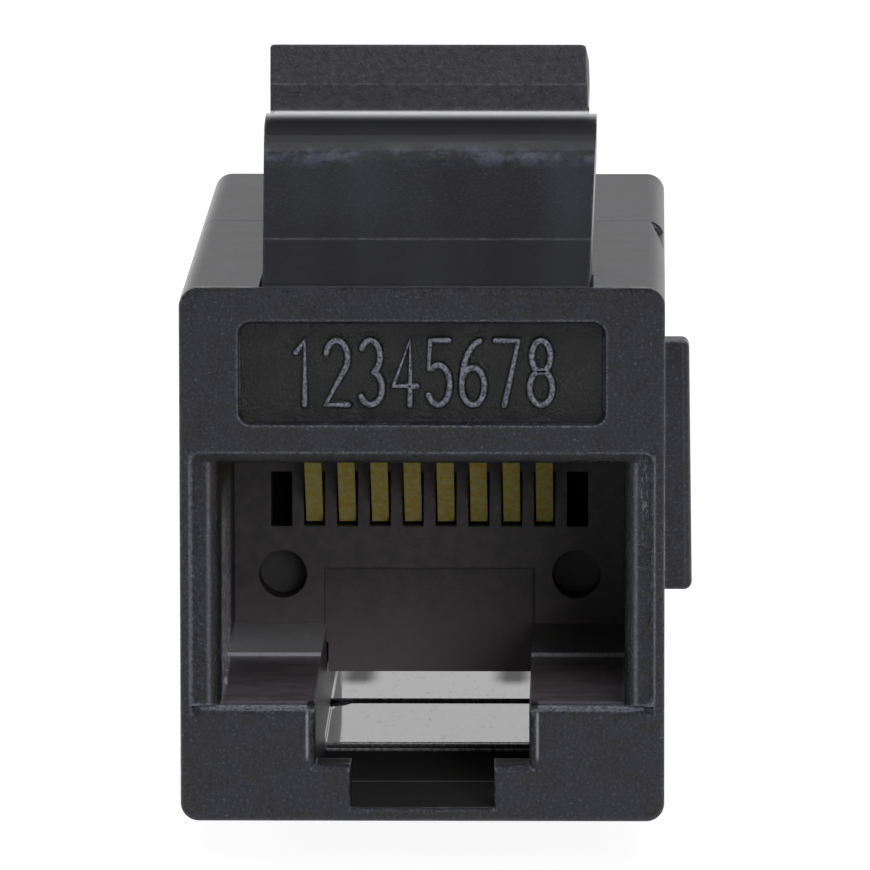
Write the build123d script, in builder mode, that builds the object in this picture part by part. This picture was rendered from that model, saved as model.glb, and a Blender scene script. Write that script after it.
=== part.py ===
import os
from math import cos, radians, sin

from build123d import *

# A keystone coupler jack: two back-to-back eight-way sockets in a two-piece housing
# that snaps into a keystone panel opening.
# Millimetres. +Z is up, +Y runs from the front socket to the rear one, X is across.
# The origin is under the middle of the housing, level with the foot of the lug.
# Depths are measured from the front face, heights from the housing's underside.

# Housing
face_width = 14.5
header_height = 5.3
body_depth = 30.0
side_wall = 1.2
top_wall = 1.2
end_wall = 1.4
edge_radius = 0.55
face_edge_radius = 0.18
fit_gap = 0.05

# Joint between the two shells
seam_offset = 2.0
tongue_length = 1.2
tongue_wall = 0.5
seam_chamfer = 0.08
pry_notch_length = 5.2
pry_notch_width = 0.45
pry_notch_depth = 0.35

# Socket mouth and the channel for the plug's tab
port_floor = 3.5
port_height = 7.3
lip_radius = 0.32
sill_radius = 0.42
bezel_width = 13.84
bezel_rise = 0.34
bezel_depth = 0.15
bezel_radius = 0.3
tab_width = 6.4
tab_shoulder = 1.7
rear_shoulder = 1.1
shoulder_lip = 0.26
catch_width = 4.3
catch_lip = 0.12
catch_floor = 0.4
channel_floor = 0.65
floor_step = 0.15
pit_margin = 1.6
ledge_depth = 6.2
ledge_rise = 0.66
ledge_step = 0.12
ramp_depth = 0.9

# Label recess in the face
recess_width = 11.0
recess_height = 3.15
recess_rise = 1.17
recess_radius = 0.4
recess_depth = 0.3
recess_draft = 0.12

# Contact carriers and board
carrier_length = 2.4
board_thickness = 1.2
carrier_nose = 2.2
carrier_slab = 1.2
carrier_clearance = 0.01
comb_pitch = 1.016
comb_slots = 10
comb_slot_width = 0.64
comb_slot_length = 2.0
comb_drop = 3.6
comb_height = 1.7
panel_width = 6.5
panel_drop = 4.92
panel_depth = 0.4
skirt_drop = 0.9
dimple_radius = 0.74
dimple_spacing = 9.07
dimple_drop = 5.1
dimple_depth = 1.2

# Spring contacts
contact_count = 8
contact_width = 0.52
contact_thickness = 0.3
groove_clearance = 0.03
contact_bend = 0.42
tip_rise = 0.2
tip_insertion = 0.55
pin_margin = 1.5
pin_hole_clearance = 0.06
# The odd contacts step down from their high pins between these shares of the carrier's length
step_start = 0.35
step_end = 0.65
step_radius = 0.25
tip_turn_share = 0.6

# Panel latch
latch_width = 10.1
root_width = 9.72
latch_shift = 0.12
arm_thickness = 1.0
hinge_depth = 0.8
hinge_drop = 0.35
hinge_clearance = 0.05
trough_side_gap = 0.13
relief_length = 2.6
bend_depth = 7.5
bend_radius = 6.4
latch_rise = 4.2
lever_depth = 20.0
lever_width = 9.2
catch_depth = 9.5
catch_rise = 2.1
block_width = 9.84
block_taper = 0.1
block_corner = 0.2
crease_radius = 0.2
catch_upright = 0.9
catch_lean = 0.15
catch_fall = 1.5
catch_tail = 0.8

# Lug under the housing and stop ears at the rear
lug_drop = 1.5
lug_depth = 9.8
lug_length = 2.2
lug_foot = 1.0
lug_width = 10.0
ear_proud = 0.82
ear_flare = 0.1
ear_bottom = 2.7
ear_top = 10.8
ear_length = 1.2
ear_edge = 0.25

# Steps in each rounded lip
lip_steps = 4

# Values that follow from the sizes above
front_y = -body_depth / 2
port_width = face_width - 2 * side_wall
port_top = port_floor + port_height
face_height = port_top + header_height
cavity_top = face_height - top_wall
recess_bottom = port_top + recess_rise
seam_depth = body_depth / 2 + seam_offset
board_depth = (body_depth - board_thickness) / 2
carrier_depth = board_depth - carrier_length
nose_depth = carrier_depth - carrier_nose
carrier_width = port_width - 2 * carrier_clearance
carrier_top = cavity_top - fit_gap
comb_bottom = port_top - comb_drop
comb_top = comb_bottom + comb_height
skirt_bottom = port_floor - skirt_drop
slab_bottom = port_top + fit_gap
slab_top = slab_bottom + carrier_slab
groove_floor = slab_top - contact_thickness - groove_clearance
pin_low = groove_floor + groove_clearance + contact_thickness / 2
pin_high = cavity_top - pin_margin
hinge_height = face_height - hinge_drop
root_radius = arm_thickness / 2
ledge_height = face_height + latch_rise
catch_height = ledge_height + catch_rise
plate_middle = ledge_height - root_radius


def across(depth):
    """A plane across the housing at a depth behind the face: local y is the height."""
    return Plane(origin=(0, front_y + depth, lug_drop), x_dir=(1, 0, 0), z_dir=(0, -1, 0))


def lengthwise(x=0.0):
    """A plane along the housing: local x is the depth, local y the height."""
    return Plane(origin=(x, front_y, lug_drop), x_dir=(0, 1, 0), z_dir=(1, 0, 0))


def window(width, low, high, middle=0.0, mode=Mode.ADD):
    """A rectangle in the open sketch, given by its lower and upper heights."""
    with Locations((middle, (low + high) / 2)):
        Rectangle(width, high - low, mode=mode)


def round_lip(width, low, high, depth, radius):
    """Rounds the mouth of an opening: each step of the lip follows a quarter circle."""
    sections = []
    for step in range(lip_steps + 1):
        angle = radians(90 * step / lip_steps)
        setback = depth + radius * (1 - cos(angle))
        spread = radius * (1 - sin(angle))
        with BuildSketch(across(setback)) as section:
            window(width + 2 * spread, low - spread, high + spread)
        sections.append(section.sketch)
    loft(sections=sections, ruled=True, mode=Mode.SUBTRACT)


def finish(piece, name):
    """Labels a piece and writes it as its own file."""
    piece.label = name
    export_step(piece, "parts/" + name + ".step")


def socket_shell(length, floor, shoulder, has_pit):
    """One end of the housing: a tube closed by an end wall with a socket mouth in it."""
    with BuildPart() as shell:
        with BuildSketch(across(0)):
            with Locations((0, face_height / 2)):
                RectangleRounded(face_width, face_height, edge_radius)
        extrude(amount=-length)
        fillet(shell.faces().sort_by(Axis.Y)[0].edges(), radius=face_edge_radius)
        # Stepped mouth: plug body, the wide part of its tab, and the tab's end
        with BuildSketch(across(0)):
            window(port_width, port_floor, port_top)
            window(tab_width, shoulder, port_floor)
            window(catch_width, catch_floor, shoulder)
        extrude(amount=-end_wall, mode=Mode.SUBTRACT)
        # The cavity behind the end wall and the channel along its floor
        with BuildSketch(across(end_wall)):
            window(port_width, port_floor, cavity_top)
            window(tab_width, floor, port_floor)
        extrude(amount=-(length - end_wall), mode=Mode.SUBTRACT)
        # The channel is a little deeper where the plug's tab bends
        if has_pit:
            with BuildSketch(across(end_wall)):
                window(tab_width, catch_floor, floor)
            extrude(amount=-(carrier_depth - pit_margin - end_wall), mode=Mode.SUBTRACT)
        # Beside the channel the floor ramps up to a ledge that stops the carrier
        ledge_width = (port_width - tab_width) / 2
        ledge_end = min(carrier_depth, length)
        for side in (-1, 1):
            with BuildSketch(lengthwise(side * (tab_width + ledge_width) / 2)):
                with BuildLine():
                    Polyline(
                        (ramp_depth, port_floor),
                        (ledge_depth, port_floor + ledge_rise - ledge_step),
                        (ledge_depth, port_floor + ledge_rise),
                        (ledge_end, port_floor + ledge_rise),
                        (ledge_end, port_floor),
                        close=True,
                    )
                make_face()
            extrude(amount=ledge_width / 2, both=True)
        # A shallow bezel round the mouth, and rounded lips on every step of it
        with BuildSketch(across(0)):
            bezel_high = port_top + bezel_rise
            with Locations((0, (port_floor + bezel_high) / 2)):
                RectangleRounded(bezel_width, bezel_high - port_floor, bezel_radius)
        extrude(amount=-bezel_depth, mode=Mode.SUBTRACT)
        round_lip(port_width, port_floor, port_top, bezel_depth, lip_radius)
        round_lip(tab_width, shoulder, port_floor, 0, shoulder_lip)
        round_lip(catch_width, catch_floor, shoulder, 0, catch_lip)
        # The sill under the mouth rolls over from the face to the port's floor
        with BuildSketch(lengthwise()):
            with BuildLine():
                sill = CenterArc((sill_radius, port_floor - sill_radius), sill_radius, 90, 90)
                Polyline(sill @ 0, (0, port_floor), sill @ 1)
            make_face()
        extrude(amount=bezel_width / 2, both=True, mode=Mode.SUBTRACT)
    return shell.part


def tongue_outline(gap):
    """The outline of the tongue that joins the shells, grown by a gap."""
    low = channel_floor - tongue_wall / 2 - gap
    high = cavity_top + tongue_wall + gap
    window(port_width + 2 * (tongue_wall + gap), low, high)


os.makedirs("parts", exist_ok=True)

# Front shell
with BuildPart() as front_shell:
    add(socket_shell(seam_depth, channel_floor, tab_shoulder, True))
    # The tongue that slides into the rear shell
    with BuildSketch(across(seam_depth)):
        tongue_outline(0)
        window(port_width, port_floor, cavity_top, mode=Mode.SUBTRACT)
        window(tab_width, channel_floor, port_floor, mode=Mode.SUBTRACT)
    extrude(amount=-tongue_length)
    # Label recess with sloping sides
    with BuildSketch(across(0)):
        with Locations((0, recess_bottom + recess_height / 2)):
            RectangleRounded(recess_width, recess_height, recess_radius)
    small_width = recess_width - 2 * recess_draft
    small_height = recess_height - 2 * recess_draft
    with BuildSketch(across(recess_depth)):
        with Locations((0, recess_bottom + recess_height / 2)):
            RectangleRounded(small_width, small_height, recess_radius - recess_draft)
    loft(mode=Mode.SUBTRACT)
    # Trough for the latch's rounded root, with a ramp under the arm
    with BuildSketch(lengthwise(latch_shift)):
        with Locations((hinge_depth, hinge_height)):
            Circle(root_radius + hinge_clearance)
        with BuildLine():
            Polyline(
                (hinge_depth, hinge_height - root_radius - hinge_clearance),
                (hinge_depth + relief_length, face_height),
                (hinge_depth + relief_length, face_height + arm_thickness),
                (hinge_depth, face_height + arm_thickness),
                close=True,
            )
        make_face()
    extrude(amount=root_width / 2 + trough_side_gap, both=True, mode=Mode.SUBTRACT)
    # Fixed lug under the housing: upright in front, sloped behind
    with BuildSketch(lengthwise()):
        with BuildLine():
            Polyline(
                (lug_depth, catch_floor / 2),
                (lug_depth, -lug_drop),
                (lug_depth + lug_foot, -lug_drop),
                (lug_depth + lug_length, 0),
                (lug_depth + lug_length, catch_floor / 2),
                close=True,
            )
        make_face()
    extrude(amount=lug_width / 2, both=True)
    # Notch for prying the shells apart, in the top right edge at the seam
    with BuildSketch(Plane.XY.offset(lug_drop + face_height)):
        with BuildLine():
            Polyline(
                (face_width / 2 - pry_notch_width, front_y + seam_depth),
                (face_width / 2, front_y + seam_depth),
                (face_width / 2, front_y + seam_depth - pry_notch_length),
                close=True,
            )
        make_face()
    extrude(amount=-pry_notch_depth, mode=Mode.SUBTRACT)
finish(front_shell.part, "front_shell")

# Rear shell, modelled like the front one and then turned end for end
with BuildPart() as rear_blank:
    add(socket_shell(body_depth - seam_depth, channel_floor + floor_step, rear_shoulder, False))
    # Room for the front shell's tongue
    with BuildSketch(across(body_depth - seam_depth)):
        tongue_outline(fit_gap)
    extrude(amount=tongue_length + fit_gap, mode=Mode.SUBTRACT)
    # Stop ears, one on each side at the open end
    with BuildSketch(across(0)):
        for side in (-1, 1):
            with BuildLine():
                Polyline(
                    (side * (face_width / 2 - side_wall / 2), ear_bottom),
                    (side * (face_width / 2 + ear_proud + ear_flare), ear_bottom),
                    (side * (face_width / 2 + ear_proud), ear_top),
                    (side * (face_width / 2 - side_wall / 2), ear_top),
                    close=True,
                )
            make_face()
    ears = extrude(amount=-ear_length, mode=Mode.PRIVATE)
    for ear in ears.solids():
        outer_face = ear.faces().sort_by(lambda f: abs(f.center().X))[-1]
        add(ear.fillet(ear_edge, outer_face.edges()))
    # The seam edge is broken slightly so that the joint reads as a fine line
    seam_face = rear_blank.faces().sort_by(Axis.Y)[-1]
    chamfer(seam_face.outer_wire().edges(), length=seam_chamfer)
rear_shell = rear_blank.part.rotate(Axis.Z, 180)
finish(rear_shell, "rear_shell")

# Catch block of the latch: seen from the front its sides lean in to rounded top corners
with BuildPart() as catch_block:
    with BuildSketch(lengthwise(latch_shift)):
        with BuildLine():
            Polyline(
                (catch_depth, plate_middle),
                (catch_depth, ledge_height + catch_upright),
                (catch_depth + catch_lean, catch_height),
                (lever_depth - catch_tail, catch_height - catch_fall),
                (lever_depth - catch_tail, plate_middle),
                close=True,
            )
        make_face()
    extrude(amount=block_width / 2, both=True)
    with BuildSketch(across(catch_depth)) as block_outline:
        with Locations((latch_shift, 0)):
            with BuildLine():
                Polyline(
                    (-block_width / 2, plate_middle),
                    (block_width / 2, plate_middle),
                    (block_width / 2 - block_taper, catch_height),
                    (block_taper - block_width / 2, catch_height),
                    close=True,
                )
            make_face()
        top_corners = block_outline.vertices().group_by(Axis.Z)[-1]
        fillet(top_corners, radius=block_corner)
    extrude(amount=-(lever_depth - catch_depth), mode=Mode.INTERSECT)

# Latch that snaps behind the panel: a bent arm and a flat lever that carry the catch block
with BuildPart() as panel_latch:
    with BuildSketch(lengthwise(latch_shift)):
        with BuildLine():
            FilletPolyline(
                (hinge_depth, hinge_height),
                (bend_depth, plate_middle),
                (lever_depth - root_radius, plate_middle),
                radius=bend_radius,
            )
        trace(line_width=arm_thickness)
        with Locations((hinge_depth, hinge_height), (lever_depth - root_radius, plate_middle)):
            Circle(root_radius)
    extrude(amount=latch_width / 2, both=True)
    # In plan the arm widens a little up to the bend, and the lever behind the catch is narrower
    with BuildSketch(Plane(origin=(latch_shift, front_y, 0))):
        with BuildLine():
            Polyline(
                (-root_width / 2, 0),
                (root_width / 2, 0),
                (latch_width / 2, bend_depth),
                (latch_width / 2, catch_depth),
                (lever_width / 2, catch_depth),
                (lever_width / 2, lever_depth),
                (-lever_width / 2, lever_depth),
                (-lever_width / 2, catch_depth),
                (-latch_width / 2, catch_depth),
                (-latch_width / 2, bend_depth),
                close=True,
            )
        make_face()
    extrude(amount=lug_drop + catch_height, mode=Mode.INTERSECT)
    add(catch_block.part)
    # The crease between the block and the ledge in front of it is filled to a small radius
    with BuildSketch(lengthwise(latch_shift)):
        with BuildLine():
            crease_middle = (catch_depth - crease_radius, ledge_height + crease_radius)
            crease = CenterArc(crease_middle, crease_radius, 270, 90)
            Polyline(crease @ 0, (catch_depth, ledge_height), crease @ 1)
        make_face()
    extrude(amount=block_width / 2 - block_taper, both=True)
finish(panel_latch.part, "panel_latch")

# Contact carrier: a comb wall across the socket and a slab over the plug
with BuildPart() as carrier:
    with BuildSketch(across(carrier_depth)):
        window(carrier_width, port_floor, carrier_top)
        window(tab_width - 2 * fit_gap, skirt_bottom, port_floor)
    extrude(amount=-carrier_length)
    with BuildSketch(lengthwise()):
        with BuildLine():
            Polyline(
                (nose_depth, slab_bottom),
                (carrier_depth + carrier_length / 2, slab_bottom),
                (carrier_depth + carrier_length / 2, slab_top),
                (nose_depth, slab_top),
                close=True,
            )
        make_face()
    extrude(amount=carrier_width / 2, both=True)
    nose = carrier.faces().sort_by(Axis.Y)[0]
    fillet(nose.edges().filter_by(Axis.X), radius=contact_bend)
    # Grooves over the slab, open slots through the wall above them
    with BuildSketch(across(0)):
        with GridLocations(comb_pitch, 1, contact_count, 1):
            with Locations((0, (groove_floor + cavity_top) / 2)):
                Rectangle(comb_slot_width, cavity_top - groove_floor)
    extrude(amount=-(carrier_depth + carrier_length), mode=Mode.SUBTRACT)
    # Comb slots for the contact tips
    with BuildSketch(across(carrier_depth)):
        with GridLocations(comb_pitch, 1, comb_slots, 1):
            with Locations((0, (comb_bottom + comb_top) / 2)):
                Rectangle(comb_slot_width, comb_top - comb_bottom)
    extrude(amount=-comb_slot_length, mode=Mode.SUBTRACT)
    # Shallow panel in the middle and two round dimples
    with BuildSketch(across(carrier_depth)):
        window(panel_width, skirt_bottom, port_top - panel_drop)
    extrude(amount=-panel_depth, mode=Mode.SUBTRACT)
    with BuildSketch(across(carrier_depth)):
        with Locations((0, port_top - dimple_drop)):
            with GridLocations(dimple_spacing, 1, 2, 1):
                Circle(dimple_radius)
    extrude(amount=-dimple_depth, mode=Mode.SUBTRACT)
front_carrier = carrier.part
rear_carrier = carrier.part.rotate(Axis.Z, 180)
finish(front_carrier, "front_contact_carrier")
finish(rear_carrier, "rear_contact_carrier")

# Board between the carriers, with two staggered rows of pin holes from each side
pin_radius = (contact_width**2 + contact_thickness**2) ** 0.5 / 2
with BuildPart() as circuit_board:
    with BuildSketch(across(board_depth)):
        window(carrier_width, port_floor, carrier_top)
        for number in range(contact_count):
            x = (number - (contact_count - 1) / 2) * comb_pitch
            with Locations((x, pin_low), (x, pin_high)):
                Circle(pin_radius + pin_hole_clearance, mode=Mode.SUBTRACT)
    extrude(amount=-board_thickness)
finish(circuit_board.part, "circuit_board")

# Spring contacts: pin in the board, over the slab, round its nose and back to the comb
for number in range(contact_count):
    x = (number - (contact_count - 1) / 2) * comb_pitch
    pin_height = pin_low if number % 2 == 0 else pin_high
    nose_turn = contact_bend + contact_thickness / 2 + groove_clearance
    route = [
        (board_depth + board_thickness, pin_height),
        (board_depth - carrier_length * step_start, pin_height),
        (board_depth - carrier_length * step_end, pin_low),
        (nose_depth - nose_turn, pin_low),
        (nose_depth - nose_turn, slab_bottom - contact_thickness),
        (carrier_depth + tip_insertion, comb_bottom + tip_rise),
    ]
    radii = [step_radius, step_radius, nose_turn, nose_turn * tip_turn_share]
    if number % 2 == 0:
        route = [route[0]] + route[3:]
        radii = radii[2:]
    with BuildPart() as contact:
        with BuildSketch(lengthwise(x)):
            with BuildLine():
                FilletPolyline(*route, radius=radii)
            trace(line_width=contact_thickness)
        extrude(amount=contact_width / 2, both=True)
    finish(contact.part, "front_contact_" + str(number + 1))
    finish(contact.part.rotate(Axis.Z, 180), "rear_contact_" + str(number + 1))
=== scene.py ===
import math
from types import SimpleNamespace

import bmesh
import bpy
from mathutils import Matrix, Vector


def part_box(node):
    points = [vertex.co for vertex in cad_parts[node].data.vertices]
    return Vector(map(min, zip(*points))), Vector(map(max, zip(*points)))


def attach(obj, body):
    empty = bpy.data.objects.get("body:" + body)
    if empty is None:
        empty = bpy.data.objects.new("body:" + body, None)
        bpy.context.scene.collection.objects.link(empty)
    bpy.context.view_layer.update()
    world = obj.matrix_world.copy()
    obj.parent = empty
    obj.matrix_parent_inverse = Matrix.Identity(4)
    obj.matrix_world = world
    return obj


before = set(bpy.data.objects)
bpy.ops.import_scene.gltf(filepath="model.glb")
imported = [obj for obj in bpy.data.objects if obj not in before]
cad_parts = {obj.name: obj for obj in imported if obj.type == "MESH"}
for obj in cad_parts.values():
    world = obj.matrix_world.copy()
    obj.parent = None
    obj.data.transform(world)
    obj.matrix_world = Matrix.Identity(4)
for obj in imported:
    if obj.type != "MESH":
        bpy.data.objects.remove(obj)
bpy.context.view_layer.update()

# The keystone coupler jack stands on the foot of its lug, front socket towards -Y.
# Lengths are in metres, written as millimetres times MM.
MM = 0.001
FACE_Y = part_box("front_shell")[0].y
UNDERSIDE_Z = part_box("rear_shell")[0].z
TOP_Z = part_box("rear_shell")[1].z
MIDDLE_Z = (UNDERSIDE_Z + TOP_Z) / 2

# The front socket's mouth, from its opening outwards to the bezel
PORT_HALF_WIDTH = 6.05 * MM
PORT_TOP_Z = UNDERSIDE_Z + 10.8 * MM
SILL_Z = UNDERSIDE_Z + 3.5 * MM
LIP_EDGE_X = 6.37 * MM
BEZEL_EDGE_X = 6.92 * MM
TAB_EDGE_X = 3.46 * MM
TAB_SHOULDER_Z = UNDERSIDE_Z + 1.9 * MM
JAMB_SCORE_X = 6.62 * MM
JAMB_SCORE_Z = UNDERSIDE_Z + 10.0 * MM

# Inside the socket
RAMP_START_Y = FACE_Y + 0.95 * MM
RAMP_END_Y = FACE_Y + 6.15 * MM
LEDGE_START_Y = FACE_Y + 5.0 * MM
COMB_FACE_Y = FACE_Y + 12.2 * MM
LEDGE_TOP_Z = UNDERSIDE_Z + 4.16 * MM
CHANNEL_HALF_WIDTH = 3.3 * MM
CHANNEL_FLOOR_Z = UNDERSIDE_Z + 0.65 * MM
CHANNEL_FLOOR_TOP = UNDERSIDE_Z + 1.0 * MM
POLISH_START_Y = FACE_Y + 10.4 * MM
FLOOR_END_Y = FACE_Y + 18.2 * MM
WITNESS_Y = FACE_Y + 4.95 * MM

# The comb and the ejector dimples of the contact carriers
SLOT_SHADE_Y = FACE_Y + 12.3 * MM
COMB_Z = UNDERSIDE_Z + 8.05 * MM
COMB_REACH = 0.9 * MM
DIMPLE_X = 4.535 * MM
DIMPLE_Z = UNDERSIDE_Z + 5.7 * MM
DIMPLE_REACH = 0.85 * MM

# The label recess and the numbers in it
RECESS_DEPTH = 0.3 * MM
RECESS_MIDDLE_Z = UNDERSIDE_Z + 13.545 * MM
RECESS_REACH = 1.6 * MM
NUMBER_REACH = 1.1 * MM
CONTACT_PITCH = 1.016 * MM
CONTACT_COUNT = 8

# The panel latch
LEDGE_Z = TOP_Z + 4.2 * MM
BEND_Z = TOP_Z + 3.42 * MM
CATCH_FACE_Y = FACE_Y + 9.5 * MM
ARM_LINE_Z = UNDERSIDE_Z + 17.3 * MM
BLOCK_LINE_Z = UNDERSIDE_Z + 21.2 * MM

# How wide the edge of a finish fades
CRISP = 0.02 * MM
SOFT = 0.05 * MM

# Camera, found from the object's own edges in the photograph
PHOTO_SIZE = 870
SENSOR = 36.0
FOCAL_PIXELS = 11671.6
CAMERA_PLACE = Vector((6.811, -359.788, 60.841)) * MM
CAMERA_YAW = math.radians(-1.0663)
CAMERA_PITCH = math.radians(7.8652)
CAMERA_ROLL = math.radians(-0.0682)


def colour(code):
    """An sRGB hex colour as linear red, green, blue and alpha."""
    channels = [int(code[i:i + 2], 16) / 255 for i in (1, 3, 5)]
    linear = [c / 12.92 if c <= 0.04045 else ((c + 0.055) / 1.055) ** 2.4 for c in channels]
    return (*linear, 1.0)


def put(tree, kind, inputs=(), **settings):
    """Adds a shader node with its settings, and sets or links its inputs.

    Inputs come in order or by name, and a node given as an input stands for its first output.
    """
    made = tree.nodes.new("ShaderNode" + kind)
    for name, value in settings.items():
        setattr(made, name, value)
    if not isinstance(inputs, dict):
        inputs = dict(enumerate(inputs))
    for name, value in inputs.items():
        if isinstance(value, bpy.types.Node):
            value = value.outputs[0]
        if isinstance(value, bpy.types.NodeSocket):
            tree.links.new(value, made.inputs[name])
        else:
            made.inputs[name].default_value = value
    return made


def new_material(name):
    """An empty material with the place on the object that its patterns read."""
    material = bpy.data.materials.new(name)
    material.use_nodes = True
    tree = material.node_tree
    tree.nodes.clear()
    return material, tree, put(tree, "TexCoord").outputs["Object"]


def axes_of(tree, place):
    """A place with its x, y and z, and side, the distance from the middle plane."""
    x, y, z = put(tree, "SeparateXYZ", [place]).outputs
    side = put(tree, "Math", [x], operation="ABSOLUTE")
    return SimpleNamespace(place=place, x=x, y=y, z=z, side=side)


def noise(tree, place, grain, detail, roughness, stretch=(1, 1, 1)):
    """Noise whose blotches are about one grain across, in metres, stretched per axis."""
    scaled = put(tree, "Mapping", {"Vector": place, "Scale": tuple(1 / s for s in stretch)})
    return put(
        tree, "TexNoise",
        {"Vector": scaled, "Scale": 1 / grain, "Detail": detail, "Roughness": roughness},
    )


def between(tree, value, low, high, soft=CRISP):
    """1 where the value is between two limits, falling to 0 over a soft edge."""
    rise = put(tree, "MapRange", [value, low - soft, low + soft])
    fall = put(tree, "MapRange", [value, high - soft, high + soft, 1.0, 0.0])
    return all_of(tree, rise, fall)


def all_of(tree, *shares):
    """The product of several shares, so it is 1 only where all of them are."""
    total = shares[0]
    for share in shares[1:]:
        total = put(tree, "Math", [total, share], operation="MULTIPLY")
    return total


def total_of(tree, *amounts):
    """The sum of several amounts."""
    total = amounts[0]
    for amount in amounts[1:]:
        total = put(tree, "Math", [total, amount], operation="ADD")
    return total


def most_of(tree, first, second):
    """The larger of two shares, so it is 1 where either of them is."""
    return put(tree, "Math", [first, second], operation="MAXIMUM")


def paint(tree, base, layers):
    """Lays colours over a base, each over its own share of the surface."""
    for share, code in layers:
        base = put(tree, "Mix", {0: share, 6: base, 7: colour(code)}, data_type="RGBA").outputs[2]
    return base


def edge_wear(tree, reach):
    """White where the surface turns a corner within the given reach, black on flats."""
    rounded = put(tree, "Bevel", {"Radius": reach}, samples=6)
    plain = put(tree, "NewGeometry").outputs["Normal"]
    match = put(tree, "VectorMath", [rounded, plain], operation="DOT_PRODUCT").outputs["Value"]
    return put(tree, "MapRange", [match, 0.995, 0.86])


def close_surface(tree, inputs, relief, strength, depth, corner=None, samples=6):
    """Ends a material with its shader, a relief of the given depth and, if named, softened corners."""
    bump = {"Strength": strength, "Distance": depth, "Height": relief}
    if corner:
        bump["Normal"] = put(tree, "Bevel", {"Radius": corner}, samples=samples)
    shader = put(tree, "BsdfPrincipled", {**inputs, "Normal": put(tree, "Bump", bump)})
    put(tree, "OutputMaterial", [shader])


def sill_highlight(tree, at, grain):
    """Painted highlight along the rolled sill under the mouth, broken up by the grain."""
    return all_of(
        tree,
        between(tree, at.y, FACE_Y - 0.1 * MM, FACE_Y + 1.0 * MM, SOFT),
        between(tree, at.z, SILL_Z - 0.12 * MM, SILL_Z + 0.03 * MM, SOFT),
        between(tree, at.side, TAB_EDGE_X, BEZEL_EDGE_X),
        put(tree, "MapRange", [grain, 0.36, 0.60, 0.25, 0.95]),
    )


def ledge_dust_and_light(tree, at, grain):
    """Dust and painted light on the ledges in front of the carrier, most of it on the left one, where light
    from the right falls.
    """
    return all_of(
        tree,
        between(tree, at.z, LEDGE_TOP_Z - 0.12 * MM, LEDGE_TOP_Z + 0.03 * MM),
        between(tree, at.y, LEDGE_START_Y, COMB_FACE_Y),
        put(tree, "MapRange", [at.x, -3 * MM, 3 * MM, 0.9, 0.2]),
        put(tree, "Math", [at.side, PORT_HALF_WIDTH], operation="LESS_THAN"),
        put(tree, "MapRange", [grain, 0.30, 0.62, 0.6, 1.0]),
    )


def ramp_dust_and_light(tree, at):
    """Thinner dust and painted light cover the ramps that lead up to the ledges."""
    dust = noise(tree, at.place, 0.35 * MM, 5.0, 0.75, stretch=(3, 1, 1))
    return all_of(
        tree,
        between(tree, at.z, SILL_Z - 0.02 * MM, LEDGE_TOP_Z - 0.12 * MM),
        between(tree, at.y, RAMP_START_Y, RAMP_END_Y, SOFT),
        between(tree, at.side, TAB_EDGE_X - 0.3 * MM, PORT_HALF_WIDTH - 0.02 * MM),
        put(tree, "MapRange", [dust, 0.35, 0.65, 0.35, 0.95]),
    )


def mouth_lip(tree, at, grain, at_mouth):
    """The mouth's rounded lip gets painted shade, between two soft painted highlights where it and the
    bezel start.
    """
    soft = 0.04 * MM
    inside = all_of(tree, at_mouth, between(tree, at.z, SILL_Z + 0.02 * MM, PORT_TOP_Z + 0.30 * MM))
    jambs = between(tree, at.side, PORT_HALF_WIDTH - 0.05 * MM, LIP_EDGE_X - 0.06 * MM, soft)
    header = all_of(
        tree,
        between(tree, at.z, PORT_TOP_Z - 0.05 * MM, PORT_TOP_Z + 0.26 * MM, soft),
        between(tree, at.x, -LIP_EDGE_X, LIP_EDGE_X),
    )
    # Painted shade on the lip's rounding
    dark = all_of(tree, inside, most_of(tree, jambs, header), 0.9)
    # Painted highlight lines where the lip and the bezel start
    lip_line = all_of(
        tree,
        put(tree, "Math", [at.z, PORT_TOP_Z + 0.05 * MM], operation="LESS_THAN"),
        between(tree, at.side, LIP_EDGE_X - 0.03 * MM, LIP_EDGE_X + 0.07 * MM, soft),
    )
    bezel_line = between(tree, at.side, BEZEL_EDGE_X - 0.03 * MM, BEZEL_EDGE_X + 0.05 * MM, soft)
    broken = put(tree, "MapRange", [grain, 0.35, 0.6, 0.35, 0.6])
    return dark, all_of(tree, inside, most_of(tree, lip_line, bezel_line), broken)


def notch_corner_highlights(tree, at, at_mouth):
    """The upright corners of the tab's notch carry a painted highlight, almost white."""
    return all_of(
        tree,
        between(tree, at.side, TAB_EDGE_X - 0.05 * MM, TAB_EDGE_X + 0.03 * MM),
        between(tree, at.z, TAB_SHOULDER_Z, SILL_Z - 0.2 * MM, 0.1 * MM),
        at_mouth,
        0.8,
    )


def jamb_score(tree, at):
    """Plugs have scored the mouth's right jamb with fine strokes along its height."""
    strokes = noise(tree, at.place, 0.06 * MM, 3.0, 0.7, stretch=(1, 1, 3))
    return all_of(
        tree,
        put(tree, "MapRange", [strokes, 0.54, 0.62]),
        between(tree, at.x, JAMB_SCORE_X - 0.12 * MM, JAMB_SCORE_X + 0.12 * MM, 0.08 * MM),
        between(tree, at.z, JAMB_SCORE_Z - 1.2 * MM, JAMB_SCORE_Z + 1.2 * MM, 0.6 * MM),
        0.7,
    )


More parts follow.
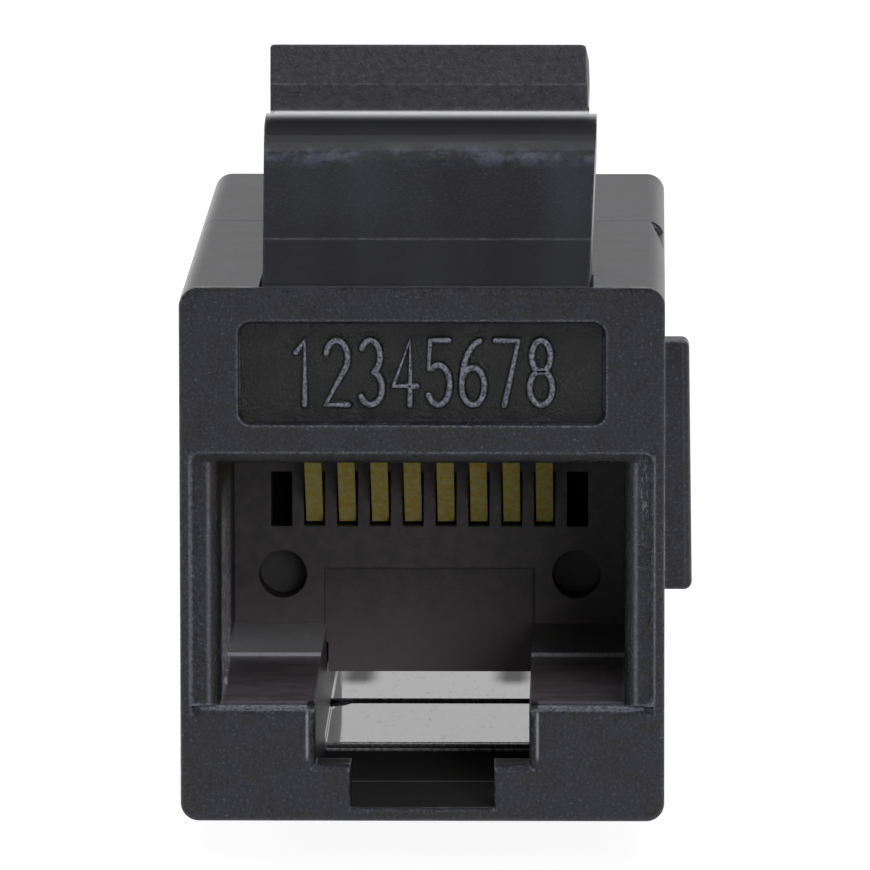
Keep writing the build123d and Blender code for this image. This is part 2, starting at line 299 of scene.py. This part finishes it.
def flash_on_lit_wall(tree, at):
    """The left inner wall is painted pale near the mouth, as lit from the right, with rough crumbs of flash
    on it.
    """
    flash = noise(tree, at.place, 0.18 * MM, 3.0, 0.8, stretch=(1, 4, 1))
    wall = all_of(
        tree,
        between(tree, at.x, -PORT_HALF_WIDTH - 0.1 * MM, -PORT_HALF_WIDTH + 0.1 * MM),
        between(tree, at.y, FACE_Y + 2.0 * MM, FACE_Y + 9.0 * MM, 0.8 * MM),
        between(tree, at.z, SILL_Z, PORT_TOP_Z - 1.5 * MM, 0.6 * MM),
    )
    return all_of(tree, wall, 0.8), all_of(tree, put(tree, "MapRange", [flash, 0.48, 0.62]), wall)


def label_recess(tree, at, grain):
    """The recess floor is painted darker, and the number tops get painted highlights, broken up by the
    grain.
    """
    near_floor = between(tree, at.y, FACE_Y + RECESS_DEPTH - 0.1 * MM, FACE_Y + RECESS_DEPTH + 0.1 * MM)
    near_tops = between(tree, at.y, FACE_Y + 0.15 * MM, FACE_Y + 0.20 * MM, 0.01 * MM)
    low, high = RECESS_MIDDLE_Z - RECESS_REACH, RECESS_MIDDLE_Z + RECESS_REACH
    floor = all_of(tree, near_floor, between(tree, at.z, low, high), 0.95)
    low, high = RECESS_MIDDLE_Z - NUMBER_REACH, RECESS_MIDDLE_Z + NUMBER_REACH
    broken = put(tree, "MapRange", [grain, 0.38, 0.56, 0.1, 0.85])
    return floor, all_of(tree, near_tops, between(tree, at.z, low, high), broken)


def tab_pit(tree, at, in_channel):
    """The pit where the plug's tab bends is painted dark as shade and oil, with one pale witness line."""
    pit = all_of(
        tree,
        in_channel,
        between(tree, at.z, UNDERSIDE_Z + 0.25 * MM, UNDERSIDE_Z + 0.55 * MM),
        between(tree, at.y, FACE_Y + 0.3 * MM, POLISH_START_Y),
    )
    return pit, all_of(tree, pit, between(tree, at.y, WITNESS_Y - SOFT, WITNESS_Y + SOFT), 0.8)


def polished_channel(tree, at, in_channel):
    """Where the rear shell's channel mirrors, and how rough its grime and two far smudges leave it."""
    polish = all_of(
        tree,
        in_channel,
        between(tree, at.z, UNDERSIDE_Z + 0.5 * MM, CHANNEL_FLOOR_TOP),
        put(tree, "Math", [at.y, POLISH_START_Y], operation="GREATER_THAN"),
    )
    grime = noise(tree, at.place, 0.16 * MM, 4.0, 0.7, stretch=(1, 3, 1))
    smudge = all_of(
        tree,
        between(tree, at.side, 1.9 * MM, 3.0 * MM, 0.35 * MM),
        between(tree, at.y, FACE_Y + 21.2 * MM, FACE_Y + 25.0 * MM, 1.0 * MM),
    )
    dull = most_of(tree, put(tree, "MapRange", [grime, 0.58, 0.80]), smudge)
    return polish, put(tree, "Math", [dull, 0.34, 0.04], operation="MULTIPLY_ADD")


def textured_pbt():
    """Black glass-filled PBT, moulded against a spark-eroded tool.

    The fine pits scatter light, so flats look matt charcoal with a cloudy mottle,
    and corners that have been handled are rubbed paler. The channel's floor was
    moulded against a polished core and mirrors the rear opening.
    """
    material, tree, place = new_material("textured_pbt_housing")
    at = axes_of(tree, place)
    cloud = noise(tree, at.place, 1.2 * MM, 6.0, 0.68)
    grain = noise(tree, at.place, 0.10 * MM, 3.0, 0.75)
    # Pale dust specks, a tenth of a millimetre across, are thickest on the lighter clouds
    specks = all_of(
        tree,
        put(tree, "MapRange", [grain, 0.60, 0.72]),
        put(tree, "MapRange", [cloud, 0.46, 0.58]),
        0.85,
    )
    # Rubbed edges, broken up by the grain so that they aren't an even line
    broken = put(tree, "MapRange", [grain, 0.40, 0.62, 0.15, 1.0])
    wear = all_of(tree, edge_wear(tree, 0.15 * MM), broken, 0.9)
    at_mouth = between(tree, at.y, FACE_Y - 0.1 * MM, FACE_Y + 0.7 * MM, SOFT)
    in_channel = between(tree, at.x, -CHANNEL_HALF_WIDTH, CHANNEL_HALF_WIDTH)
    shaded_lip, lip_highlights = mouth_lip(tree, at, grain, at_mouth)
    painted_light_wall, crumbs = flash_on_lit_wall(tree, at)
    recess_floor, number_highlights = label_recess(tree, at, grain)
    pit, witness = tab_pit(tree, at, in_channel)
    base = paint(tree, colour("#010103"), [
        (put(tree, "MapRange", [cloud, 0.44, 0.58]), "#1E1F2B"),
        (put(tree, "MapRange", [grain, 0.50, 0.68, 0.0, 0.65]), "#42445A"),
        (specks, "#777783"),
        # Painted highlight on the rolled sill
        (sill_highlight(tree, at, grain), "#8C8E9C"),
        # Dust and painted light on the ledge tops
        (ledge_dust_and_light(tree, at, grain), "#D4D4DC"),
        # Dust and painted light on the ramps
        (ramp_dust_and_light(tree, at), "#625C60"),
        (wear, "#989AA8"),
        # Painted shade on the mouth's lip, and the painted highlights beside it
        (shaded_lip, "#030304"),
        (lip_highlights, "#84868F"),
        # Painted highlight on the notch's upright corners
        (notch_corner_highlights(tree, at, at_mouth), "#A4A4AE"),
        (jamb_score(tree, at), "#8A8A94"),
        # Painted light on the left inner wall, then the crumbs of flash
        (painted_light_wall, "#9A9AA4"),
        (crumbs, "#F2F2F6"),
        # The recess floor painted darker, and painted highlights on the number tops
        (recess_floor, "#020204"),
        (number_highlights, "#9A9CAC"),
        # Painted shade and oil in the pit
        (pit, "#050506"),
        (witness, "#8C8C92"),
    ])
    # The tool's pits are deepest on the face; the sides were drawn off a finer surface
    front = between(tree, at.y, FACE_Y - 1.0 * MM, FACE_Y + 0.45 * MM, 0.1 * MM)
    mottled = all_of(tree, front, put(tree, "MapRange", [cloud, 0.40, 0.60, -0.10, 0.16]))
    matt_rough = most_of(tree, total_of(tree, 0.36, mottled), pit)
    polish, polish_rough = polished_channel(tree, at, in_channel)
    matt = put(tree, "Math", [1.0, polish], operation="SUBTRACT")
    rough = total_of(tree, all_of(tree, matt_rough, matt), all_of(tree, polish, polish_rough))
    pits = total_of(tree, all_of(tree, grain, 1.4), all_of(tree, cloud, 4.0))
    relief = all_of(tree, pits, all_of(tree, matt, put(tree, "MapRange", [front, 0.0, 1.0, 0.06, 1.0])))
    inputs = {"Base Color": base, "Roughness": rough, "IOR": 1.52}
    close_surface(tree, inputs, relief, 1.0, 0.05 * MM, 0.08 * MM)
    return material


def latch_arm(tree, at, streaks, grain):
    """The arm: faint flow lines, a patchy painted highlight at the bend, a painted dark reflection under
    the ledge, a painted highlight below the ledge's edge, and darker towards the bottom.
    """
    bend_patches = noise(tree, at.place, 1.1 * MM, 4.0, 0.7)
    # A patchy painted highlight where the arm bends
    bend_highlight = all_of(
        tree,
        between(tree, at.z, BEND_Z - 0.25 * MM, BEND_Z + 0.10 * MM, 0.20 * MM),
        put(tree, "MapRange", [bend_patches, 0.46, 0.60]),
        put(tree, "MapRange", [grain, 0.2, 0.6, 0.4, 0.9]),
    )
    return paint(tree, colour("#18181D"), [
        (put(tree, "MapRange", [streaks, 0.30, 0.70]), "#282A33"),
        (all_of(tree, put(tree, "MapRange", [grain, 0.50, 0.80]), 0.45), "#4E4E5A"),
        # Painted highlight at the bend
        (bend_highlight, "#5A5E70"),
        # Painted dark reflection under the ledge
        (put(tree, "MapRange", [at.z, LEDGE_Z - 0.75 * MM, LEDGE_Z - 0.35 * MM, 0.0, 0.85]), "#0A0A0D"),
        # Darker towards the bottom of the arm
        (put(tree, "MapRange", [at.z, ARM_LINE_Z - 0.3 * MM, ARM_LINE_Z + 1.0 * MM, 0.5, 0.0]), "#0E0E12"),
        # Painted highlight fading down from the ledge's edge
        (put(tree, "MapRange", [at.z, LEDGE_Z - 0.10 * MM, LEDGE_Z, 0.0, 0.35]), "#8C8E98"),
    ])


def latch_block(tree, grain, coarse):
    """The catch block keeps the coarse grain of a sawn gate, so it is paler and duller."""
    return paint(tree, colour("#1B1B1F"), [
        (put(tree, "MapRange", [coarse, 0.32, 0.68]), "#3E3E45"),
        (all_of(tree, put(tree, "MapRange", [grain, 0.58, 0.74]), 0.7), "#6C6C75"),
    ])


def satin_latch_plastic():
    """The housing's PBT where the tool was smoother: satin on the arm, sawn on the catch block."""
    material, tree, place = new_material("satin_pbt_latch")
    at = axes_of(tree, place)
    streaks = noise(tree, at.place, 2.4 * MM, 1.0, 0.5, stretch=(1, 5, 5))
    grain = noise(tree, at.place, 0.10 * MM, 3.0, 0.75)
    coarse = noise(tree, at.place, 0.16 * MM, 5.0, 0.75, stretch=(1.6, 1, 1))
    on_block = put(tree, "MapRange", [at.z, LEDGE_Z - 0.02 * MM, LEDGE_Z + 0.10 * MM])
    sawn = latch_block(tree, grain, coarse)
    arm = latch_arm(tree, at, streaks, grain)
    base = put(tree, "Mix", {0: on_block, 6: arm, 7: sawn}, data_type="RGBA").outputs[2]
    # A painted highlight along the ledge's edge
    ledge_highlight = all_of(
        tree,
        between(tree, at.z, LEDGE_Z - 0.03 * MM, LEDGE_Z + 0.07 * MM, 0.03 * MM),
        put(tree, "MapRange", [at.y, CATCH_FACE_Y - 0.95 * MM, CATCH_FACE_Y - 0.35 * MM, 0.25, 1.0]),
        0.95,
    )
    # Two faint witness lines of the tool, one low on the arm and one across the block
    arm_line = between(tree, at.z, ARM_LINE_Z - CRISP, ARM_LINE_Z + CRISP)
    block_line = between(tree, at.z, BLOCK_LINE_Z - CRISP, BLOCK_LINE_Z + CRISP)
    broken = put(tree, "MapRange", [coarse, 0.40, 0.62, 0.08, 0.40])
    wear = all_of(tree, edge_wear(tree, 0.11 * MM), put(tree, "MapRange", [grain, 0.38, 0.60]), 0.6)
    base = paint(tree, base, [
        # Painted highlight on the ledge's edge
        (ledge_highlight, "#F0F0F4"),
        (all_of(tree, most_of(tree, arm_line, block_line), broken), "#85858F"),
        (wear, "#84848E"),
    ])
    satin = put(tree, "MapRange", [streaks, 0.35, 0.65, 0.28, 0.33])
    rough = total_of(tree, satin, all_of(tree, on_block, 0.22))
    sawn_relief = all_of(tree, on_block, total_of(tree, coarse, grain))
    relief = total_of(tree, all_of(tree, grain, 0.12), sawn_relief)
    inputs = {"Base Color": base, "Roughness": rough, "IOR": 1.52}
    close_surface(tree, inputs, relief, 0.5, 0.03 * MM, 0.12 * MM)
    return material


def carrier_lcp():
    """Brown-black liquid crystal polymer of the contact carriers: dull, with a fine woody grain."""
    material, tree, place = new_material("moulded_lcp_carrier")
    at = axes_of(tree, place)
    woody = noise(tree, at.place, 0.5 * MM, 4.0, 0.65)
    fine = noise(tree, at.place, 0.06 * MM, 2.0, 0.6)
    inside = between(tree, at.y, SLOT_SHADE_Y, -SLOT_SHADE_Y, 0.1 * MM)
    # The comb's slots are narrow and deep, so their walls get painted shade, almost black
    slots = all_of(tree, inside, between(tree, at.z, COMB_Z - COMB_REACH, COMB_Z + COMB_REACH))
    # The ejector dimples hold little light either
    dimples = all_of(
        tree,
        inside,
        between(tree, at.z, DIMPLE_Z - DIMPLE_REACH, DIMPLE_Z + DIMPLE_REACH),
        between(tree, at.side, DIMPLE_X - DIMPLE_REACH, DIMPLE_X + DIMPLE_REACH),
        0.6,
    )
    # Rubbed paler towards the channel, where it also catches light off the polished floor
    lower = put(tree, "MapRange", [at.z, UNDERSIDE_Z + 2.6 * MM, UNDERSIDE_Z + 5.6 * MM, 0.75, 0.0])
    base = paint(tree, colour("#2E2A2C"), [
        (put(tree, "MapRange", [woody, 0.35, 0.65]), "#474042"),
        (put(tree, "MapRange", [fine, 0.56, 0.78, 0.0, 0.4]), "#5A5254"),
        (lower, "#766C6E"),
        (slots, "#020202"),
        (dimples, "#100E0F"),
    ])
    rough = put(tree, "Math", [slots, 0.42, 0.55], operation="MULTIPLY_ADD")
    inputs = {"Base Color": base, "Roughness": rough, "IOR": 1.6}
    close_surface(tree, inputs, fine, 0.3, 0.015 * MM, 0.05 * MM, samples=4)
    return material


def gold_plated_spring():
    """Gold flash over phosphor bronze strip: a soft metal gleam, worn and spotted where plugs wipe it."""
    material, tree, place = new_material("gold_plated_bronze")
    spots = noise(tree, place, 0.22 * MM, 4.0, 0.65)
    drawn = noise(tree, place, 0.05 * MM, 2.0, 0.5, stretch=(1, 12, 12))
    base = paint(tree, colour("#F6D85C"), [(put(tree, "MapRange", [spots, 0.36, 0.64]), "#FFF2A4")])
    rough = put(tree, "MapRange", [spots, 0.3, 0.7, 0.60, 0.42])
    close_surface(tree, {"Base Color": base, "Metallic": 0.15, "Roughness": rough}, drawn, 0.15, 0.01 * MM)
    return material


def board_laminate():
    """Green solder mask over glass-fibre laminate: smooth, slightly glossy, with faint tracks under it."""
    material, tree, place = new_material("solder_masked_fr4")
    weave = noise(tree, place, 0.25 * MM, 1.0, 0.5)
    # A wave node runs through 20 radians per unit of its scale, so each contact gets one track
    waves = 2 * math.pi / (20 * CONTACT_PITCH)
    tracks = put(tree, "TexWave", {"Vector": place, "Scale": waves, "Distortion": 0.0}, bands_direction="X")
    base = paint(tree, colour("#143D22"), [
        (put(tree, "MapRange", [tracks.outputs["Fac"], 0.45, 0.55]), "#1E5A31"),
        (put(tree, "MapRange", [weave, 0.4, 0.7, 0.0, 0.3]), "#26663A"),
    ])
    shader = put(tree, "BsdfPrincipled", {"Base Color": base, "Roughness": 0.32, "IOR": 1.55})
    put(tree, "OutputMaterial", [shader])
    return material


def dress_frame():
    """Gives every CAD node its finish, and returns the housing's."""
    shell = textured_pbt()
    latch = satin_latch_plastic()
    carrier = carrier_lcp()
    gold = gold_plated_spring()
    board = board_laminate()
    for name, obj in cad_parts.items():
        if "contact_carrier" in name:
            finish = carrier
        elif "_contact_" in name:
            finish = gold
        elif name == "circuit_board":
            finish = board
        elif name == "panel_latch":
            finish = latch
        else:
            finish = shell
        for slot in obj.material_slots:
            slot.material = finish
        for polygon in obj.data.polygons:
            polygon.use_smooth = False
    return shell


def arc(middle, radii, start, stop):
    """Points along part of an ellipse, from one angle to another in degrees."""
    count = max(4, int(abs(stop - start) / 12))
    turns = [math.radians(start + (stop - start) * i / count) for i in range(count + 1)]
    return [(middle[0] + radii[0] * math.cos(t), middle[1] + radii[1] * math.sin(t)) for t in turns]


def number_strokes():
    """The strokes of 1 to 8 in a box one unit wide and two high, its middle at the origin."""
    return {
        1: [[(-0.30, 0.62), (0.08, 1.0), (0.08, -1.0)]],
        2: [arc((0, 0.46), (0.48, 0.54), 165, -38) + [(-0.5, -1.0), (0.5, -1.0)]],
        3: [arc((-0.02, 0.5), (0.43, 0.5), 150, -75) + arc((0, -0.48), (0.5, 0.52), 75, -150)],
        4: [[(0.22, -1.0), (0.22, 1.0), (-0.52, -0.42), (0.52, -0.42)]],
        5: [[(0.42, 1.0), (-0.38, 1.0), (-0.46, 0.12)] + arc((-0.02, -0.38), (0.5, 0.62), 125, -150)],
        6: [arc((0.42, -0.42), (0.92, 1.42), 98, 180) + arc((0, -0.42), (0.5, 0.58), 192, 500)],
        7: [[(-0.5, 1.0), (0.5, 1.0), (-0.12, -1.0)]],
        8: [arc((0, 0.51), (0.41, 0.49), 0, 360), arc((0, -0.47), (0.5, 0.53), 0, 360)],
    }


def stroke_tube(curve, points, radius):
    """Adds one stroke to a curve: a round tube with rounded ends, or a closed ring."""
    closed = math.dist(points[0], points[-1]) < 1e-6 * MM
    path = [(x, y, 1.0) for x, y in (points[:-1] if closed else points)]
    if not closed:
        # Each end runs on by one radius while the tube shrinks like a quarter circle
        for end, inner in ((0, 1), (-1, -2)):
            tip, before = Vector(points[end]), Vector(points[inner])
            outward = (tip - before).normalized() * radius
            cap = [(*(tip + outward * math.sin(t)), math.cos(t)) for t in (0.5, 1.0, 1.5)]
            path = cap[::-1] + path if end == 0 else path + cap
    spline = curve.splines.new("POLY")
    spline.points.add(len(path) - 1)
    for point, (x, y, share) in zip(spline.points, path):
        point.co = (x, y, 0, 1)
        point.radius = share
    spline.use_cyclic_u = closed


def number_mesh(strokes, place):
    """One number as a closed mesh of round strokes, standing at its place in the recess."""
    half_height = 0.97 * MM
    width = 0.68 * MM
    stroke_radius = 0.13 * MM
    weld = 0.001 * MM
    curve = bpy.data.curves.new("number", "CURVE")
    curve.dimensions = "3D"
    curve.bevel_depth = stroke_radius
    curve.bevel_resolution = 3
    curve.use_fill_caps = True
    for stroke in strokes:
        sized = [(width * px, half_height * py) for px, py in stroke]
        stroke_tube(curve, sized, stroke_radius)
    holder = bpy.data.objects.new("number", curve)
    bpy.context.scene.collection.objects.link(holder)
    bpy.context.view_layer.update()
    shape = bpy.data.meshes.new_from_object(holder.evaluated_get(bpy.context.evaluated_depsgraph_get()))
    shape.transform(place @ Matrix.Rotation(math.radians(90), 4, "X"))
    figure = bmesh.new()
    figure.from_mesh(shape)
    bmesh.ops.remove_doubles(figure, verts=figure.verts, dist=weld)
    bmesh.ops.recalc_face_normals(figure, faces=figure.faces)
    figure.to_mesh(shape)
    figure.free()
    bpy.data.objects.remove(holder)
    bpy.data.curves.remove(curve)
    return shape


def add_object(name, sheet, material):
    """Makes a bmesh an object of the scene, in one material."""
    mesh = bpy.data.meshes.new(name)
    sheet.to_mesh(mesh)
    sheet.free()
    mesh.materials.append(material)
    piece = bpy.data.objects.new(name, mesh)
    bpy.context.scene.collection.objects.link(piece)
    return piece


def contact_numbers(material):
    """Numbers 1 to 8 in the label recess, each over its own contact.

    They are engraved round-bottomed in the tool, so they stand up as half-round strokes.
    """
    joined = bmesh.new()
    for number, strokes in number_strokes().items():
        middle_x = (number - (CONTACT_COUNT + 1) / 2) * CONTACT_PITCH
        place = Matrix.Translation((middle_x, FACE_Y + RECESS_DEPTH, RECESS_MIDDLE_Z))
        shape = number_mesh(strokes, place)
        joined.from_mesh(shape)
        bpy.data.meshes.remove(shape)
    piece = add_object("contact_numbers", joined, material)
    piece.data.shade_smooth()
    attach(piece, "housing")


def polished_floor_finish():
    """The same PBT against a polished core: nearly black, and a mirror when seen along it.

    Fine scratches run from back to front, and the far corners are smudged.
    """
    material, tree, place = new_material("polished_pbt_floor")
    at = axes_of(tree, place)
    drag = noise(tree, at.place, 0.10 * MM, 3.0, 0.7, stretch=(1, 30, 1))
    across = noise(tree, at.place, 0.35 * MM, 3.0, 0.6, stretch=(8, 1, 1))
    specks = noise(tree, at.place, 0.14 * MM, 4.0, 0.75, stretch=(1, 4, 1))
    edge_streaks = noise(tree, at.place, 0.20 * MM, 4.0, 0.75, stretch=(1, 3, 6))
    # Grime thickens towards the corners beside the joint with the rear shell
    to_side = put(tree, "Math", [at.side, 2.3 * MM], operation="SUBTRACT")
    to_joint = put(tree, "Math", [at.y, FLOOR_END_Y + 0.5 * MM], operation="SUBTRACT")
    corner = total_of(
        tree,
        put(tree, "Math", [to_side, 0.9 * MM], operation="DIVIDE"),
        put(tree, "Math", [to_joint, 1.2 * MM], operation="DIVIDE"),
    )
    grimy = put(tree, "MapRange", [corner, 0.15, 0.35])
    # A painted highlight along the rolled front edge, streaked along its height, that fades into the pit
    edge_highlight = all_of(
        tree,
        put(tree, "Math", [at.y, POLISH_START_Y + 0.3 * MM], operation="LESS_THAN"),
        put(tree, "MapRange", [at.z, CHANNEL_FLOOR_Z - 0.24 * MM, CHANNEL_FLOOR_Z - 0.04 * MM]),
        put(tree, "MapRange", [edge_streaks, 0.35, 0.62, 0.25, 1.0]),
    )
    # Grime in the far corners, and the painted highlight on the rolled front edge
    base = paint(tree, colour("#0E0E0C"), [(grimy, "#050505"), (edge_highlight, "#FAFAF0")])
    clean = total_of(
        tree,
        put(tree, "MapRange", [across, 0.40, 0.70, 0.03, 0.08]),
        all_of(tree, put(tree, "MapRange", [specks, 0.60, 0.70]), 0.25),
    )
    rough = most_of(tree, clean, grimy)
    close_surface(tree, {"Base Color": base, "Roughness": rough, "IOR": 1.53}, drag, 0.12, 0.004 * MM)
    return material


def drafted_floor():
    """The channel's floor in the front shell, drafted so that the polished core could be drawn.

    It rises towards the joint with the rear shell and rolls over into the pit in front.
    """
    half_width = 3.19 * MM
    front_y = POLISH_START_Y - 0.02 * MM
    low_z = CHANNEL_FLOOR_Z - 0.2 * MM
    start_z = CHANNEL_FLOOR_Z + 0.02 * MM
    end_z = CHANNEL_FLOOR_Z + 0.07 * MM
    roll = 0.26 * MM
    dip = 0.05 * MM
    steps = 8
    cut_tolerance = 0.0001 * MM
    profile = [(POLISH_START_Y + roll, low_z), (front_y, low_z)]
    for i in range(steps + 1):
        turn = math.radians(90 * i / steps)
        profile.append((front_y + roll * (1 - math.cos(turn)), start_z - roll * (1 - math.sin(turn))))
    profile += [(FLOOR_END_Y, end_z), (FLOOR_END_Y, low_z)]
    sheet = bmesh.new()
    outline = sheet.faces.new([sheet.verts.new((-half_width, y, z)) for y, z in profile])
    grown = bmesh.ops.extrude_face_region(sheet, geom=[outline])
    moved = [v for v in grown["geom"] if isinstance(v, bmesh.types.BMVert)]
    bmesh.ops.translate(sheet, verts=moved, vec=(2 * half_width, 0, 0))
    # The far corners sink a little at the joint, further on the left
    for side, reach, width in ((-1, 1.6 * MM, 0.85 * MM), (1, 0.7 * MM, 0.45 * MM)):
        bmesh.ops.bisect_plane(
            sheet, geom=sheet.verts[:] + sheet.edges[:] + sheet.faces[:], dist=cut_tolerance,
            plane_co=(side * (half_width - width), FLOOR_END_Y, 0), plane_no=(side * reach, width, 0),
        )
        corner = max(sheet.verts, key=lambda v: side * v.co.x + v.co.y + v.co.z)
        corner.co.z -= dip
    bmesh.ops.recalc_face_normals(sheet, faces=sheet.faces)
    piece = add_object("drafted_floor", sheet, polished_floor_finish())
    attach(piece, "housing")


def seen_straight(tree, path):
    """1 for rays that the camera sees directly or through glass."""
    return most_of(tree, path.outputs["Is Camera Ray"], path.outputs["Is Transmission Ray"])


def white_ground():
    """A pale matt floor: white to the camera and in reflections, darkened only by the shadow."""
    material, tree, place = new_material("pale_floor")
    path = put(tree, "LightPath")
    # In reflections the white falls off in front of the object, where the room is dim
    mirrored = put(tree, "MapRange", [axes_of(tree, place).y, -0.10, 0.0, 0.10, 0.9])
    direct = all_of(tree, seen_straight(tree, path), 0.92)
    glow = total_of(tree, direct, all_of(tree, path.outputs["Is Glossy Ray"], mirrored))
    matt = put(tree, "BsdfDiffuse", {"Color": colour("#A0A0A0")})
    light = put(tree, "Emission", {"Color": colour("#FFFFFF"), "Strength": glow})
    put(tree, "OutputMaterial", [put(tree, "AddShader", [matt, light])])
    return material


def stage_floor():
    """The floor under the lug's foot."""
    half = 3.0
    sheet = bmesh.new()
    bmesh.ops.create_grid(sheet, x_segments=1, y_segments=1, size=half)
    add_object("floor", sheet, white_ground())


def white_room():
    """A white room to the camera; in reflections it is white only low down behind the object."""
    ambient = 0.20
    world = bpy.data.worlds.new("white_room")
    bpy.context.scene.world = world
    world.use_nodes = True
    tree = world.node_tree
    tree.nodes.clear()
    path = put(tree, "LightPath")
    direction = axes_of(tree, put(tree, "TexCoord").outputs["Generated"])
    low_sky = put(tree, "MapRange", [direction.z, 0.19, 0.28, 1.0, 0.0])
    behind = put(tree, "MapRange", [direction.y, -0.2, 0.3, 0.08, 1.0])
    mirrored = put(tree, "MapRange", [all_of(tree, low_sky, behind), 0.0, 1.0, 0.10, 1.0])
    added = put(tree, "Math", [mirrored, ambient], operation="SUBTRACT")
    indirect = total_of(tree, ambient, all_of(tree, path.outputs["Is Glossy Ray"], added))
    straight = seen_straight(tree, path)
    hidden = put(tree, "Math", [1.0, straight], operation="SUBTRACT")
    strength = total_of(tree, all_of(tree, indirect, hidden), straight)
    sky = put(tree, "Background", {"Color": colour("#FFFFFF"), "Strength": strength})
    put(tree, "OutputWorld", [sky])


def lamp(name, place, width, height, radiance):
    """A soft box aimed at the middle of the housing; radiance 1 looks white in a mirror."""
    data = bpy.data.lights.new(name, "AREA")
    data.shape = "RECTANGLE"
    data.size = width
    data.size_y = height
    data.energy = radiance * math.pi * width * height
    holder = bpy.data.objects.new(name, data)
    holder.location = place
    aim = Vector((0, 0, MIDDLE_Z)) - Vector(place)
    holder.rotation_euler = aim.to_track_quat("-Z", "Y").to_euler()
    bpy.context.scene.collection.objects.link(holder)


def studio_lamps():
    """A key from the front right, soft boxes behind and above, and fills beside the camera and behind."""
    lamp("right_key", (0.187, -0.40, 0.245), 0.12, 0.12, 7.0)
    lamp("front_fill", (0.185, -0.57, 0.105), 0.22, 0.22, 3.4)
    lamp("rear_top_box", (0.0, 0.19, 0.313), 0.26, 0.05, 1.4)
    lamp("top_box", (0.04, -0.17, 0.36), 0.24, 0.12, 6.0)
    lamp("rear_fill", (-0.30, 0.42, 0.14), 0.20, 0.20, 4.0)
    lamp("left_fill", (-0.34, -0.16, 0.16), 0.12, 0.22, 0.6)


def photo_camera():
    """The camera of the photograph, far away on a long lens."""
    data = bpy.data.cameras.new("camera")
    data.sensor_width = SENSOR
    data.sensor_fit = "HORIZONTAL"
    data.lens = FOCAL_PIXELS * SENSOR / PHOTO_SIZE
    data.clip_start = 0.01
    data.clip_end = 20.0
    holder = bpy.data.objects.new("camera", data)
    bpy.context.scene.collection.objects.link(holder)
    level = Matrix.Rotation(-CAMERA_YAW, 4, "Z") @ Matrix.Rotation(math.radians(90) - CAMERA_PITCH, 4, "X")
    turned = level @ Matrix.Rotation(CAMERA_ROLL, 4, "Z")
    holder.matrix_world = Matrix.Translation(CAMERA_PLACE) @ turned
    bpy.context.scene.camera = holder


contact_numbers(dress_frame())
drafted_floor()
stage_floor()
white_room()
studio_lamps()
photo_camera()
bpy.context.scene.view_settings.view_transform = "Standard"
